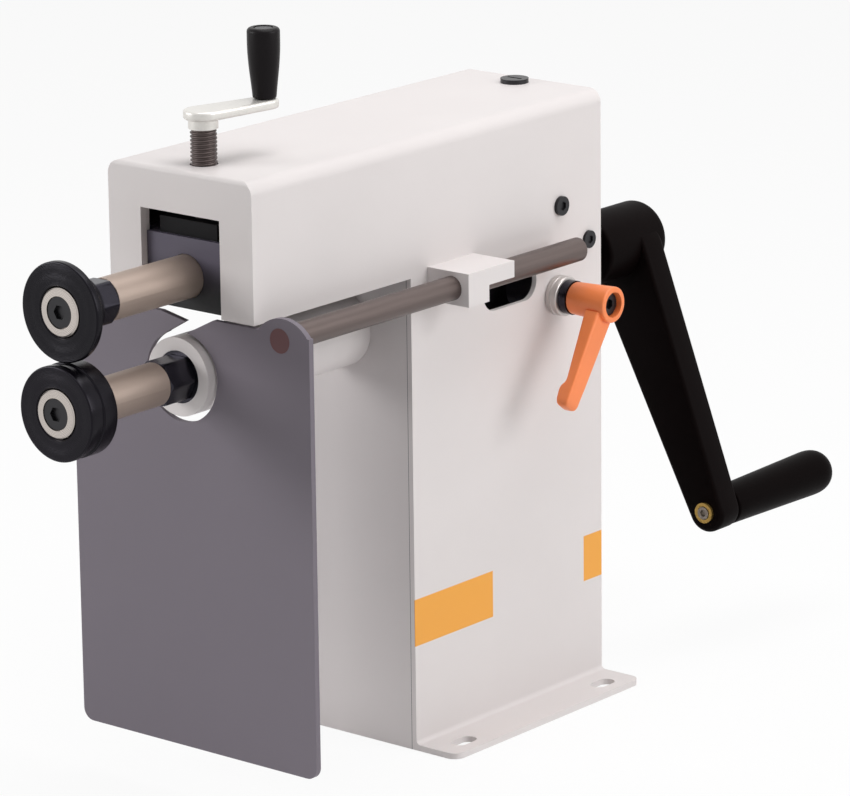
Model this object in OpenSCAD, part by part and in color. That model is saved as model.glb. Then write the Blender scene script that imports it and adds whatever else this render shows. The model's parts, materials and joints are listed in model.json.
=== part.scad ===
// Bench creasing machine: two geared shafts with forming rollers in an L-shaped sheet-steel stand.
// The front with the rollers faces -Y, the crank is at +Y, the bench is the plane z = 0.
// The origin is on the bench, in the middle of the column between the four bench slots.

/* [Housing] */
// Width over the side walls
body_w = 120; // [116:1:140]
// Depth of the column
column_depth = 200; // [190:1:230]
// Overhang of the head in front of the column
head_reach = 152; // [130:1:180]
// Room between the swing arm and the top sheet
head_room = 39.5; // [37:0.5:50]
// Drop of the head's lower edge below the upper shaft
head_drop = 22; // [22:0.5:30]
// Thickness of the folded sheet
sheet_t = 4; // [3:0.5:5]
// Outer bend radius of the long top edges
edge_r = 9; // [7:1:20]
// Thickness of the head's front plate
front_t = 8; // [7:1:10]
// Rounding of the front plate's top edge
nose_r = 3; // [2:1:7]
// Free height of the window above the swing arm
window_room = 16; // [15:1:24]
// Width of each bench flange
flange_w = 34; // [28:1:45]
// Corner radius of the bench flanges
flange_r = 8; // [4:1:12]
// Width of the bench slots
slot_w = 11; // [9:1:13]
// Length of the bench slots
slot_l = 20; // [16:1:30]
// Distance between front and rear bench slots
slot_pitch = 150; // [130:1:160]

/* [Shafts] */
// Height of the lower shaft above the bench
lower_z = 278.5; // [260:0.5:320]
// Distance between the two shafts
shaft_gap = 63; // [60:0.5:67]
// Diameter of the shafts' front part
shaft_d = 28; // [25:1:30]
// Diameter of the roller seats
seat_d = 18; // [14:1:20]
// Diameter of the lower shaft inside the quill
journal_d = 22; // [21:1:24]
// Diameter of the upper shaft behind its front bush
tail_d = 24; // [22:1:26]
// Diameter of the gear and crank seats
drive_d = 20; // [16:1:20]
// Number of teeth on each gear
gear_teeth = 21; // [19:1:23]
// Width of the upper gear
gear_w = 9; // [7:1:10]

/* [Rollers] */
// Reach of the upper roller in front of the head
roller_reach = 110; // [100:1:120]
// Lead of the lower roller over the upper one
roller_lead = 6; // [5:1:8]
// Gap left between the rollers for the sheet
roller_gap = 1; // [0.6:0.1:3]
// Width of the upper roller's rim
rim_w = 5.5; // [5:0.5:9]
// Length of the upper roller with its hub
upper_roller_l = 19; // [17:1:22]
// Length of the lower roller
lower_roller_l = 23.5; // [22:0.5:30]
// Length of the upper lock nut
nut_l = 20; // [14:1:24]
// Outer diameter of the roller washers
washer_d = 31; // [28:1:36]

/* [Lower tube] */
// Outer diameter of the lower tube
tube_d = 51; // [46:1:52]
// Outer diameter of the quill
quill_d = 34; // [32:1:36]
// Reach of the tube in front of the head
tube_reach = 5; // [3:1:8]

/* [Top crank] */
// Diameter of the spindle
spindle_d = 17; // [17:1:24]
// Distance from the head's front to the spindle
spindle_inset = 24; // [22:1:36]
// Height of spindle that shows above the head
spindle_out = 23; // [18:1:30]
// Length of the top crank from spindle to grip
top_crank_l = 48; // [40:1:70]
// Height of the top grip
top_grip_l = 45; // [40:1:60]
// Angle of the top crank, towards the right of straight back
top_crank_angle = 12; // [-20:1:30]

/* [Main crank] */
// Length of the main crank from shaft to grip
crank_l = 198; // [170:1:210]
// Angle of the main crank from straight down
crank_angle = 24; // [0:1:45]
// Gap between the rear cover and the crank's hub
crank_gap = 58; // [54:1:70]
// Thickness of the crank's arm
crank_t = 22; // [14:1:24]
// Length of the crank's grip
grip_l = 116; // [90:1:125]

/* [Guide] */
// Width of the guide plate
plate_w = 200; // [180:1:220]
// Distance from the bench to the plate's lower edge
plate_foot = 31; // [20:1:60]
// Thickness of the guide plate
plate_t = 4; // [3:0.5:5]
// Diameter of the guide rod
rod_d = 16; // [12:1:18]
// Distance from the side wall to the rod's axis
rod_out = 20; // [19:1:24]
// Distance from the rod's rear end to the rear cover
rod_inset = 51; // [30:1:60]
// Length of the rod block
block_l = 47; // [40:1:60]

/* [Clamp lever] */
// Distance from the rear of the column to the lever's axis
lever_inset = 48; // [47:1:60]
// Angle of the lever from straight down, towards the front
lever_angle = 35; // [0:1:60]
// Length of the lever from its axis to the tip
lever_l = 76; // [60:1:85]
// Height of the lever's hub
hub_l = 32; // [28:1:36]

/* [Hidden] */
$fn = 64;

// Clearances: running fits, fixed round seats, and loose neighbours
run_gap = 0.05;
seat_gap = 0.05;
free_gap = 0.3;

// Planes of the housing
wall_x = body_w / 2;
wall_in = wall_x - sheet_t;
y_col = -column_depth / 2;
y_rear = column_depth / 2;
y_front = y_col - head_reach;
y_shell = y_front + front_t;
y_cover = y_rear - sheet_t;

// Heights
upper_z = lower_z + shaft_gap;
mid_z = lower_z + shaft_gap / 2;
arm_up = 25;
arm_down = 21;
arm_top = upper_z + arm_up;
arm_foot = upper_z - arm_down;
z_head = upper_z - head_drop;
top_in = arm_top + head_room;
body_h = top_in + sheet_t;

// Gears
gear_m = shaft_gap / gear_teeth;
pitch_r = shaft_gap / 2;
pressure = 20;
base_r = pitch_r * cos(pressure);
tip_r = pitch_r + gear_m;
root_r = pitch_r - 1.25 * gear_m;
tooth_play = 0.35;
gear_inset = 16.5;
y_gear = y_rear - gear_inset;
lower_gear_w = gear_w + 6;
key_w = 6;
key_l = 8;

// Swing arm
cheek_t = 8;
cheek_in = tip_r + 1.5;
cheek_out = cheek_in + cheek_t;
pivot_inset = 14;
y_pivot = y_rear - pivot_inset;
pivot_r = 4;
pivot_boss_r = 8;
cheek_heel = 26;
nose_w = 65;
nose_back = 5;
nose_lip = 4;
nose_gap = 0.4;
y_nose = y_front + nose_back;
y_shoulder = y_shell + 8;
shoulder_l = 48;
web_l = 36;
web_rear = 40;
bush_t = 3;

// Stations along the shafts
y_up = y_front - roller_reach;
y_lo = y_up - roller_lead;
y_up_back = y_up + upper_roller_l;
y_lo_back = y_lo + lower_roller_l;
y_nut = y_up_back + nut_l;
y_tube = y_front - tube_reach;
y_quill = y_tube + 1;
quill_nut_l = 23;
y_quill_nut = y_quill - quill_nut_l;
bulkhead_t = 6;
bulkhead_inset = 36;
bulkhead_below = 36;
bulkhead_above = 14;
y_bulkhead = y_rear - bulkhead_inset;
y_tube_back = y_bulkhead + bulkhead_t;
y_quill_back = y_tube_back + 3;
quill_bush_l = 30;
quill_bush_t = 2;

// Rollers
rim_rise = 0.7;
mean_r = (shaft_gap - roller_gap) / 2;
upper_roller_r = mean_r + rim_rise;
lower_roller_r = mean_r - rim_rise;
groove_d = 1.2;
groove_w = rim_w + 1.5;
recess_l = 6;
washer_l = 6.5;
screw_head_r = 9.8;
screw_r = 6;
screw_l = 28;
nut_af = 27;

// Spindle and top crank
y_spindle = y_front + spindle_inset;
nut_h = 14;
nut_half_w = 20;
nut_half_d = 15;
z_nut = top_in - nut_h;
pad_r = 12;
pad_t = 5;
pad_lift = 0.4;
neck_r = 6.5;
z_pad = arm_top + pad_lift;
z_neck = z_pad + 2.3;
z_thread = z_nut - 6;
z_collar = body_h + spindle_out;
collar_h = 6;
z_top_arm = z_collar + collar_h;
top_arm_t = 6;
z_top_grip = z_top_arm + top_arm_t + 0.5;
spigot_r = 6;
top_axle_r = 4;
top_hub_r = 12.5;
top_end_r = 9;
keeper_h = 10.5;
keeper_w = 48;
keeper_l = 32;
// The keeper tips rearwards as the arm lifts, so its holes sit this far forward at rest
keeper_shift = 1.1;

// Rear bearing and main crank
bearing_r = 18;
bearing_flange_r = 34;
bearing_flange_t = 8;
bearing_screw_ring = 26;
bearing_l = crank_gap - 6;
crank_boss_r = 25;
crank_boss_l = 33;
crank_hub_r = 25;
crank_hub_l = 33;
crank_root = 10;
crank_root_r = 26;
crank_end_r = 14.5;
y_crank = y_rear + crank_gap;
y_arm = y_crank + crank_boss_l;
y_arm_back = y_arm + crank_t;
y_hub_back = y_arm + crank_hub_l;
grip_axle_r = 5;
crank_washer_r = 13.5;
crank_washer_t = 3;
grip_r0 = 14;
grip_r1 = 16;

// Guide plate, rod and rod block
y_plate = y_front + 1;
plate_top = z_head - 2;
rod_x = wall_x + rod_out;
plate_over = 24;
plate_right = rod_x + plate_over;
plate_left = plate_right - plate_w;
plate_r = 8;
mouth_left = 24;
mouth_right = 27;
mouth_tip = 1.5;
mouth_tip_drop = 4;
mouth_notch = 14;
mouth_notch_drop = 13;
mouth_root = 6;
mouth_root_drop = 16;
rod_rise = 3;
rod_z = mid_z + rod_rise;
rod_back = y_cover + sheet_t - rod_inset;
ear_r = 25;
ear_dx = 2.5;
ear_dz = -10.5;
plate_hole_r = tube_d / 2 + 2;
block_wall = 3;
block_out = rod_out + rod_d / 2 + 6;
block_h = rod_d + 2 * block_wall;
block_front_l = 21;
y_block = y_col + 17;

// Clamp lever
lever_y = y_rear - lever_inset;

// Opening in the right wall below the rod
access_r = 12;
access_drop = 20;
access_gap = 34;
access_l = 32;
access_y1 = lever_y - access_gap;
access_y0 = access_y1 - access_l;

// Stack of the lever on its stud
ring_t = 9;
ring_r = 13.5;
neck_l = 5.9;
neck_rad = 11.5;
x_neck = wall_x + ring_t + free_gap;
x_hub = x_neck + neck_l + free_gap;
hub_r = 11.5;
post_r = 7;
post_l = 16;
hub_web = 2.5;
x_web = x_hub + post_l + free_gap;
socket_r = 8.5;
pull = 4.5;
stud_r = 6;
lever_screw_r = 3;
quill_flat = 1;
clamp_boss_r = 11;

// Fasteners
pivot_head_r = 6;
bracket_head_r = 6.5;
bracket_screw_r = 3.5;
pivot_plate_t = 6;
bracket_inset = 44;
bracket_edge = 14;
y_bracket = y_rear - bracket_inset;
z_bracket = upper_z - 3;
lug = 12;
cover_screw_r = 2.5;
cover_head_r = 4.5;
cover_head_l = 3;
bearing_head_l = 4;
pivot_head_l = 2;
bracket_head_l = 2.5;
block_screw_r = 3;
block_head_r = 5;
block_head_l = 4;
block_bite = 8;
crank_screw_r = 4;
crank_screw_l = 20;
crank_screw_head_r = 7;
crank_screw_head_l = 6;
lever_head_r = 7.5;
lever_head_l = 5;
lever_bite = 8;
lug_foot = 30;
lug_drop = 90;
lug_heights = [lug_foot, lower_z - lug_drop, body_h - edge_r - lug];

WHITE = "#e8e4df";
GRAPHITE = "#4a4a50";
STEEL = "#a79f93";
BLUED = "#2b2a33";
BLACK = "#1c1a1b";
BRONZE = "#b08c52";
BRASS = "#c9a04a";
ZINC = "#cfcdc8";
ORANGE = "#e8812c";
VIOLET_GREY = "#6f6c78";

// Extrude a profile drawn in x and z from y0 to y1
module along_y(y0, y1) {
  translate([0, y1, 0])
    rotate([90, 0, 0])
      linear_extrude(height = y1 - y0) children();
}

// Extrude a profile drawn in y and z from x0 to x1
module along_x(x0, x1) {
  translate([x0, 0, 0])
    rotate([90, 0, 90])
      linear_extrude(height = x1 - x0) children();
}

// Round bar along Y
module bar_y(r, y0, y1, x = 0, z = 0) {
  translate([x, y0, z])
    rotate([-90, 0, 0])
      cylinder(r = r, h = y1 - y0);
}

// Round bar along X
module bar_x(r, x0, x1, y, z) {
  translate([x0, y, z])
    rotate([0, 90, 0])
      cylinder(r = r, h = x1 - x0);
}

// Turned piece on an axis along Y, from points of radius and y
module turned_y(points, z) {
  translate([0, 0, z])
    rotate([-90, 0, 0])
      rotate_extrude() polygon(points);
}

// Box from its lowest to its highest corner
module box(low, high) {
  translate(low) cube(high - low);
}

// Both sides of the machine
module both_sides() {
  children();
  mirror([1, 0, 0]) children();
}

// Slot with round ends, along the first axis of the drawing
module obround(length, width) {
  square([length - width, width], center = true);
  for (side = [-1, 1]) {
    translate([side * (length - width) / 2, 0]) circle(d = width);
  }
}

// Bar with two round ends of different radius, along the second axis of the drawing
module taper_bar(r0, r1, length) {
  slope = asin((r0 - r1) / length);
  circle(r0);
  translate([0, length]) circle(r1);
  polygon([
    [-r0 * cos(slope), r0 * sin(slope)],
    [r0 * cos(slope), r0 * sin(slope)],
    [r1 * cos(slope), length + r1 * sin(slope)],
    [-r1 * cos(slope), length + r1 * sin(slope)]
  ]);
}

// Section of the head and column, drawn in from the outside by inset
module head_section(inset, z0) {
  half = wall_x - inset;
  r = edge_r - inset;
  top = body_h - inset;
  translate([-half, z0]) square([2 * half, top - r - z0]);
  translate([-half + r, z0]) square([2 * (half - r), top - z0]);
  for (side = [-1, 1]) {
    translate([side * (half - r), top - r]) circle(r);
  }
}

// Socket head screw along +Z, head below z = 0 and shank above it
module socket_screw(head_r, head_l, shank_r, shank_l) {
  difference() {
    union() {
      translate([0, 0, -head_l]) cylinder(r = head_r, h = head_l);
      cylinder(r = shank_r, h = shank_l);
    }
    translate([0, 0, -head_l - 1]) cylinder(r = head_r * 0.5, h = head_l * 0.6 + 1, $fn = 6);
  }
}

// One flange with its round corners, on the right side
module flange_plan() {
  x1 = wall_x + flange_w;
  translate([wall_in, y_col]) square([sheet_t + flange_w - flange_r, column_depth]);
  translate([wall_in, y_col + flange_r])
    square([sheet_t + flange_w, column_depth - 2 * flange_r]);
  for (y = [y_col + flange_r, y_rear - flange_r]) {
    translate([x1 - flange_r, y]) circle(flange_r);
  }
}

module slot_places() {
  for (y = [-slot_pitch / 2, slot_pitch / 2]) {
    translate([wall_x + flange_w / 2 + 3, y]) children();
  }
}

module flange() {
  fillet = 3;
  linear_extrude(height = sheet_t) {
    difference() {
      flange_plan();
      slot_places() rotate(90) obround(slot_l, slot_w);
    }
  }
  along_y(y_col, y_rear) {
    difference() {
      translate([wall_x - 1, sheet_t - 1]) square(fillet + 1);
      translate([wall_x + fillet, sheet_t + fillet]) circle(fillet);
    }
  }
}

module wall_holes() {
  both_sides() {
    bar_x(pivot_r + seat_gap, wall_in - 1, wall_x + 1, y_pivot, mid_z);
    bar_x(bracket_screw_r + seat_gap, wall_in - 1, wall_x + 1, y_bracket, z_bracket);
  }
  bar_x(stud_r + free_gap, wall_in - 1, wall_x + 1, lever_y, lower_z);
  rod_block_screw_places() bar_x(block_screw_r + seat_gap, wall_in - 1, wall_x + 1, 0, 0);
  along_x(wall_in - 1, wall_x + 1)
    translate([(access_y0 + access_y1) / 2, rod_z - access_drop])
      obround(access_y1 - access_y0 + 2 * access_r, 2 * access_r);
}

module cover_lugs() {
  both_sides() {
    for (z = lug_heights) {
      difference() {
        box([wall_in - lug, y_cover - lug, z - lug / 2], [wall_in + 1, y_cover, z + lug / 2]);
        bar_y(cover_screw_r + seat_gap, y_cover - lug - 1, y_cover + 1, wall_in - lug / 2, z);
      }
    }
  }
}

module housing() color(WHITE) {
  difference() {
    union() {
      difference() {
        along_y(y_shell, y_rear) head_section(0, 0);
        along_y(y_shell - 1, y_rear + 1) head_section(sheet_t, -1);
        box([-wall_x - 1, y_shell - 1, -1], [wall_x + 1, y_col, z_head]);
      }
      both_sides() flange();
    }
    wall_holes();
    translate([0, y_spindle, top_in - 1]) cylinder(r = spindle_d / 2 + 0.5, h = sheet_t + 2);
    translate([0, y_gear, top_in - 1]) cylinder(r = 7, h = sheet_t + 2);
  }
  cover_lugs();
}

module front_plate() color(WHITE) {
  window_w = nose_w + 1;
  difference() {
    along_y(y_front, y_shell) head_section(0, z_head);
    box([-window_w / 2, y_front - 1, z_head - 1], [window_w / 2, y_shell + 1, arm_top + window_room]);
    difference() {
      box([-wall_x - 1, y_front - 1, body_h - nose_r], [wall_x + 1, y_front + nose_r, body_h + 1]);
      bar_x(nose_r, -wall_x - 2, wall_x + 2, y_front + nose_r, body_h - nose_r);
    }
  }
}

module column_plate() color(WHITE) {
  difference() {
    box([-wall_in, y_col, 0], [wall_in, y_col + sheet_t, plate_top]);
    bar_y(tube_d / 2 + seat_gap, y_col - 1, y_col + sheet_t + 1, 0, lower_z);
  }
}

module cover_screw_places() {
  both_sides() {
    for (z = lug_heights) {
      translate([wall_in - lug / 2, y_rear, z]) children();
    }
  }
}

module rear_cover() color(WHITE) {
  difference() {
    along_y(y_cover, y_rear) head_section(sheet_t + free_gap, 0);
    bar_y(drive_d / 2 + 4, y_cover - 1, y_rear + 1, 0, lower_z);
    cover_screw_places() rotate([-90, 0, 0])
      translate([0, 0, -sheet_t - 1]) cylinder(r = cover_screw_r + seat_gap, h = sheet_t + 2);
    bearing_screw_places() translate([0, 0, -sheet_t - 1])
      cylinder(r = cover_screw_r + seat_gap, h = sheet_t + 2);
  }
}

module cover_screws() color(BLACK) {
  cover_screw_places() rotate([90, 0, 0])
    socket_screw(cover_head_r, cover_head_l, cover_screw_r, sheet_t + lug - 1);
}

module lower_tube() color(WHITE) {
  difference() {
    bar_y(tube_d / 2, y_tube, y_tube_back, 0, lower_z);
    bar_y(quill_d / 2 + run_gap, y_tube - 1, y_tube_back + 1, 0, lower_z);
    bar_x(stud_r + free_gap, 0, tube_d, lever_y, lower_z);
  }
}

module bulkhead() color(GRAPHITE) {
  difference() {
    box([-wall_in, y_bulkhead, lower_z - bulkhead_below],
        [wall_in, y_tube_back, lower_z + bulkhead_above]);
    bar_y(tube_d / 2 + seat_gap, y_bulkhead - 1, y_tube_back + 1, 0, lower_z);
  }
}

module pivot_plates() color(GRAPHITE) {
  both_sides() {
    difference() {
      box([wall_in - pivot_plate_t, y_bracket - bracket_edge, mid_z - bracket_edge],
          [wall_in, y_cover - 3, upper_z + 12]);
      bar_x(pivot_r + seat_gap, wall_in - pivot_plate_t - 1, wall_in + 1, y_pivot, mid_z);
      bar_x(bracket_screw_r + seat_gap, wall_in - pivot_plate_t - 1, wall_in + 1, y_bracket, z_bracket);
    }
  }
}

module pivot_screws() color(BLACK) {
  both_sides() {
    translate([wall_x, y_pivot, mid_z]) rotate([0, -90, 0])
      socket_screw(pivot_head_r, pivot_head_l, pivot_r, wall_x - cheek_in - 1);
  }
}

module bracket_screws() color(BLACK) {
  both_sides() {
    translate([wall_x, y_bracket, z_bracket]) rotate([0, -90, 0])
      socket_screw(bracket_head_r, bracket_head_l, bracket_screw_r, sheet_t + pivot_plate_t);
  }
}

module oil_plug() color(BLACK) {
  difference() {
    union() {
      translate([0, y_gear, body_h]) cylinder(r = 9.5, h = 3);
      translate([0, y_gear, top_in - 5]) cylinder(r = 7 - seat_gap, h = sheet_t + 6);
    }
    box([-6, y_gear - 1, body_h + 1.5], [6, y_gear + 1, body_h + 4]);
  }
}

module spindle_nut() color(STEEL) {
  difference() {
    box([-nut_half_w, y_spindle - nut_half_d, z_nut], [nut_half_w, y_spindle + nut_half_d, top_in]);
    translate([0, y_spindle, z_nut - 1]) cylinder(r = spindle_d / 2 + run_gap, h = nut_h + 2);
  }
}

module rod_block() color(WHITE) {
  x1 = wall_x + block_out;
  difference() {
    union() {
      box([wall_x, y_block, rod_z - block_h / 2],
          [x1, y_block + block_front_l, rod_z + block_h / 2]);
      box([wall_x, y_block, rod_z], [x1, y_block + block_l, rod_z + block_h / 2]);
    }
    bar_y(rod_d / 2 + run_gap, y_block - 1, y_block + block_l + 1, rod_x, rod_z);
    rod_block_screw_places() bar_x(block_screw_r + seat_gap, wall_x - 1, wall_x + block_bite + 1, 0, 0);
  }
}

module rod_block_screw_places() {
  for (y = [y_block + 10, y_block + block_l - 10]) {
    translate([0, y, rod_z + block_h / 4 + 0.5]) children();
  }
}

module rod_block_screws() color(BLACK) {
  rod_block_screw_places() translate([wall_in, 0, 0]) rotate([0, 90, 0])
    socket_screw(block_head_r, block_head_l, block_screw_r, sheet_t + block_bite);
}

module clamp_ring() color(ZINC) {
  difference() {
    bar_x(ring_r, wall_x, wall_x + ring_t, lever_y, lower_z);
    bar_x(stud_r + free_gap, wall_x - 1, wall_x + ring_t + 1, lever_y, lower_z);
  }
}

module clamp_boss() color(GRAPHITE) {
  difference() {
    bar_x(clamp_boss_r, tube_d / 4, wall_in, lever_y, lower_z);
    bar_y(tube_d / 2 + seat_gap, lever_y - clamp_boss_r - 1, lever_y + clamp_boss_r + 1, 0, lower_z);
    bar_x(stud_r + run_gap, 0, wall_x, lever_y, lower_z);
  }
}

module bearing_screw_places() {
  for (i = [0:3]) {
    a = 45 + 90 * i;
    translate([bearing_screw_ring * cos(a), y_rear, lower_z + bearing_screw_ring * sin(a)])
      rotate([-90, 0, 0]) children();
  }
}

module rear_bearing() color(GRAPHITE) {
  difference() {
    union() {
      bar_y(bearing_flange_r, y_rear, y_rear + bearing_flange_t, 0, lower_z);
      bar_y(bearing_r, y_rear, y_rear + bearing_l, 0, lower_z);
    }
    bar_y(drive_d / 2 + bush_t + seat_gap, y_rear - 1, y_rear + bearing_l + 1, 0, lower_z);
    bearing_screw_places() translate([0, 0, -1])
      cylinder(r = cover_screw_r + seat_gap, h = bearing_flange_t + 2);
  }
}

module rear_bearing_screws() color(BLACK) {
  bearing_screw_places() translate([0, 0, bearing_flange_t]) rotate([180, 0, 0])
    socket_screw(cover_head_r, bearing_head_l, cover_screw_r, bearing_flange_t + sheet_t);
}

module rear_bush() color(BRONZE) {
  difference() {
    bar_y(drive_d / 2 + bush_t, y_rear, y_rear + bearing_l, 0, lower_z);
    bar_y(drive_d / 2 + run_gap, y_rear - 1, y_rear + bearing_l + 1, 0, lower_z);
  }
}

// Cheek of the swing arm, drawn in y and z
module cheek_profile() {
  circle_y = y_pivot;
  polygon([
    [y_shoulder + shoulder_l - 1, arm_foot],
    [y_pivot - cheek_heel, arm_foot],
    [y_pivot - 5, mid_z - 6],
    [y_pivot + pivot_boss_r, mid_z],
    [y_pivot + 6, mid_z + 18],
    [y_pivot - 2, arm_top - 4],
    [y_shoulder + shoulder_l - 1, arm_top - 4]
  ]);
  translate([circle_y, mid_z]) circle(pivot_boss_r);
}

module swing_arm() color(GRAPHITE) {
  y_web = y_rear - web_rear - web_l;
  difference() {
    union() {
      box([-nose_w / 2, y_nose, arm_foot], [nose_w / 2, y_shoulder + 1, arm_top]);
      box([-cheek_out, y_shoulder, arm_foot], [cheek_out, y_shoulder + shoulder_l, arm_top]);
      both_sides() along_x(cheek_in, cheek_out) cheek_profile();
      box([-cheek_in - 1, y_web, upper_z - 19], [cheek_in + 1, y_web + web_l, upper_z + 19]);
    }
    bar_y(shaft_d / 2 + nose_gap, y_nose - 1, y_nose + nose_lip + 1, 0, upper_z);
    bar_y(shaft_d / 2 + bush_t + seat_gap, y_nose + nose_lip, y_shoulder + shoulder_l + 1, 0, upper_z);
    bar_y(tail_d / 2 + bush_t + seat_gap, y_web - 1, y_web + web_l + 1, 0, upper_z);
    both_sides() bar_x(pivot_r + run_gap, cheek_in - 1, cheek_out + 1, y_pivot, mid_z);
  }
}

module upper_front_bush() color(BRONZE) {
  difference() {
    bar_y(shaft_d / 2 + bush_t, y_nose + nose_lip, y_shoulder + shoulder_l - 2, 0, upper_z);
    bar_y(shaft_d / 2 + run_gap, y_nose - 1, y_shoulder + shoulder_l, 0, upper_z);
  }
}

module upper_rear_bush() color(BRONZE) {
  y_web = y_rear - web_rear - web_l;
  difference() {
    bar_y(tail_d / 2 + bush_t, y_web, y_web + web_l, 0, upper_z);
    bar_y(tail_d / 2 + run_gap, y_web - 1, y_web + web_l + 1, 0, upper_z);
  }
}

module keeper() color(STEEL) {
  y_hole = y_spindle - keeper_shift;
  difference() {
    box([-keeper_w / 2, y_spindle - keeper_l / 2, arm_top],
        [keeper_w / 2, y_spindle + keeper_l / 2, arm_top + keeper_h]);
    translate([0, y_hole, arm_top - 1]) cylinder(r = pad_r + 2, h = pad_t + 2.6);
    translate([0, y_hole, arm_top]) cylinder(r = neck_r + 2.2, h = keeper_h + 1);
  }
}

module upper_shaft() color(STEEL) {
  y_step = y_shoulder + shoulder_l;
  y_end = y_gear + gear_w / 2 + 4;
  y_seat = y_gear - gear_w / 2;
  difference() {
    turned_y([
      [0, y_up + recess_l + 0.5],
      [seat_d / 2, y_up + recess_l + 0.5],
      [seat_d / 2, y_up_back],
      [journal_d / 2, y_up_back],
      [journal_d / 2, y_nut],
      [shaft_d / 2, y_nut],
      [shaft_d / 2, y_step],
      [tail_d / 2, y_step],
      [tail_d / 2, y_seat],
      [drive_d / 2, y_seat],
      [drive_d / 2, y_end],
      [0, y_end]
    ], upper_z);
    bar_y(screw_r + seat_gap, y_up, y_up + recess_l + screw_l, 0, upper_z);
    key_slot(y_gear, upper_z);
  }
}

// Key seat that a shaft and its gear share
module key_slot(y, z) {
  box([-key_w / 2, y - key_l / 2, z + drive_d / 2 - key_w / 2],
      [key_w / 2, y + key_l / 2, z + drive_d / 2 + key_w / 2]);
}

module shaft_key(y, z) {
  trim = seat_gap;
  box([-key_w / 2 + trim, y - key_l / 2 + trim, z + drive_d / 2 - key_w / 2 + trim],
      [key_w / 2 - trim, y + key_l / 2 - trim, z + drive_d / 2 + key_w / 2 - trim]);
}

module upper_roller() color(BLUED) {
  back_r = 20;
  y_rim = y_up + rim_w;
  turned_y([
    [washer_d / 2 + free_gap, y_up],
    [upper_roller_r - 1, y_up],
    [upper_roller_r, y_up + 1],
    [upper_roller_r, y_rim - 1],
    [upper_roller_r - 1, y_rim],
    [back_r, y_up_back - 2],
    [back_r, y_up_back],
    [seat_d / 2 + seat_gap, y_up_back],
    [seat_d / 2 + seat_gap, y_up + recess_l],
    [washer_d / 2 + free_gap, y_up + recess_l]
  ], upper_z);
}

module upper_nut() color(BLUED) {
  difference() {
    translate([0, y_up_back, upper_z]) rotate([-90, 0, 0])
      cylinder(d = nut_af / cos(30), h = nut_l, $fn = 6);
    bar_y(journal_d / 2 + seat_gap, y_up_back - 1, y_nut + 1, 0, upper_z);
  }
}

// Cup washer that holds a roller, with the screw head sunk in its front
module roller_washer(y, z) {
  head_l = 4.5;
  turned_y([
    [screw_head_r + 0.5, y - 0.5],
    [washer_d / 2 - 1, y - 0.5],
    [washer_d / 2, y + 0.5],
    [washer_d / 2, y - 0.5 + washer_l],
    [screw_r + free_gap, y - 0.5 + washer_l],
    [screw_r + free_gap, y - 0.5 + head_l],
    [screw_head_r + 0.5, y - 0.5 + head_l]
  ], z);
}

module roller_screw(y, z) {
  translate([0, y + 4, z]) rotate([-90, 0, 0]) socket_screw(screw_head_r, 4, screw_r, screw_l);
}

module upper_washer() color(ZINC) roller_washer(y_up, upper_z);

module upper_roller_screw() color(BLACK) roller_screw(y_up, upper_z);

function polar(r, a) = [r * cos(a), r * sin(a)];
function involute(a) = tan(a) * 180 / PI - a;

// Half the angle that a tooth spans at radius r
function tooth_half(r) =
  90 / gear_teeth - tooth_play / 2 / pitch_r * 180 / PI
  + involute(pressure) - involute(acos(min(1, base_r / r)));

flank_r = [for (k = [0:4]) root_r + (tip_r - root_r) * k / 4];

function tooth(middle) = concat(
  [for (r = flank_r) polar(r, middle - tooth_half(r))],
  [for (k = [4:-1:0]) polar(flank_r[k], middle + tooth_half(flank_r[k]))]
);

module gear(width, z, first_tooth) {
  step = 360 / gear_teeth;
  difference() {
    along_y(y_gear - width / 2, y_gear + width / 2)
      translate([0, z]) polygon([for (i = [0:gear_teeth - 1]) each tooth(first_tooth + i * step)]);
    bar_y(drive_d / 2 + seat_gap, y_gear - width, y_gear + width, 0, z);
    key_slot(y_gear, z);
  }
}

module upper_gear() color(STEEL) gear(gear_w, upper_z, -90);

module upper_key() color(STEEL) shaft_key(y_gear, upper_z);

module quill() color(BLUED) {
  half = quill_d / 2;
  difference() {
    bar_y(half, y_quill, y_quill_back, 0, lower_z);
    bar_y(journal_d / 2 + quill_bush_t + seat_gap, y_quill - 1, y_quill_back + 1, 0, lower_z);
    box([half - quill_flat, lever_y - 12, lower_z - half], [half + 1, lever_y + 12, lower_z + half]);
  }
}

module quill_nut() color(BLUED) {
  difference() {
    translate([0, y_quill_nut, lower_z]) rotate([-90, 0, 0])
      cylinder(d = nut_af / cos(30), h = quill_nut_l, $fn = 6);
    bar_y(journal_d / 2 + free_gap, y_quill_nut - 1, y_quill + 1, 0, lower_z);
  }
}

module quill_bushes() color(BRONZE) {
  for (y = [y_quill, y_quill_back - quill_bush_l]) {
    difference() {
      bar_y(journal_d / 2 + quill_bush_t, y, y + quill_bush_l, 0, lower_z);
      bar_y(journal_d / 2 + run_gap, y - 1, y + quill_bush_l + 1, 0, lower_z);
    }
  }
}

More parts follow.
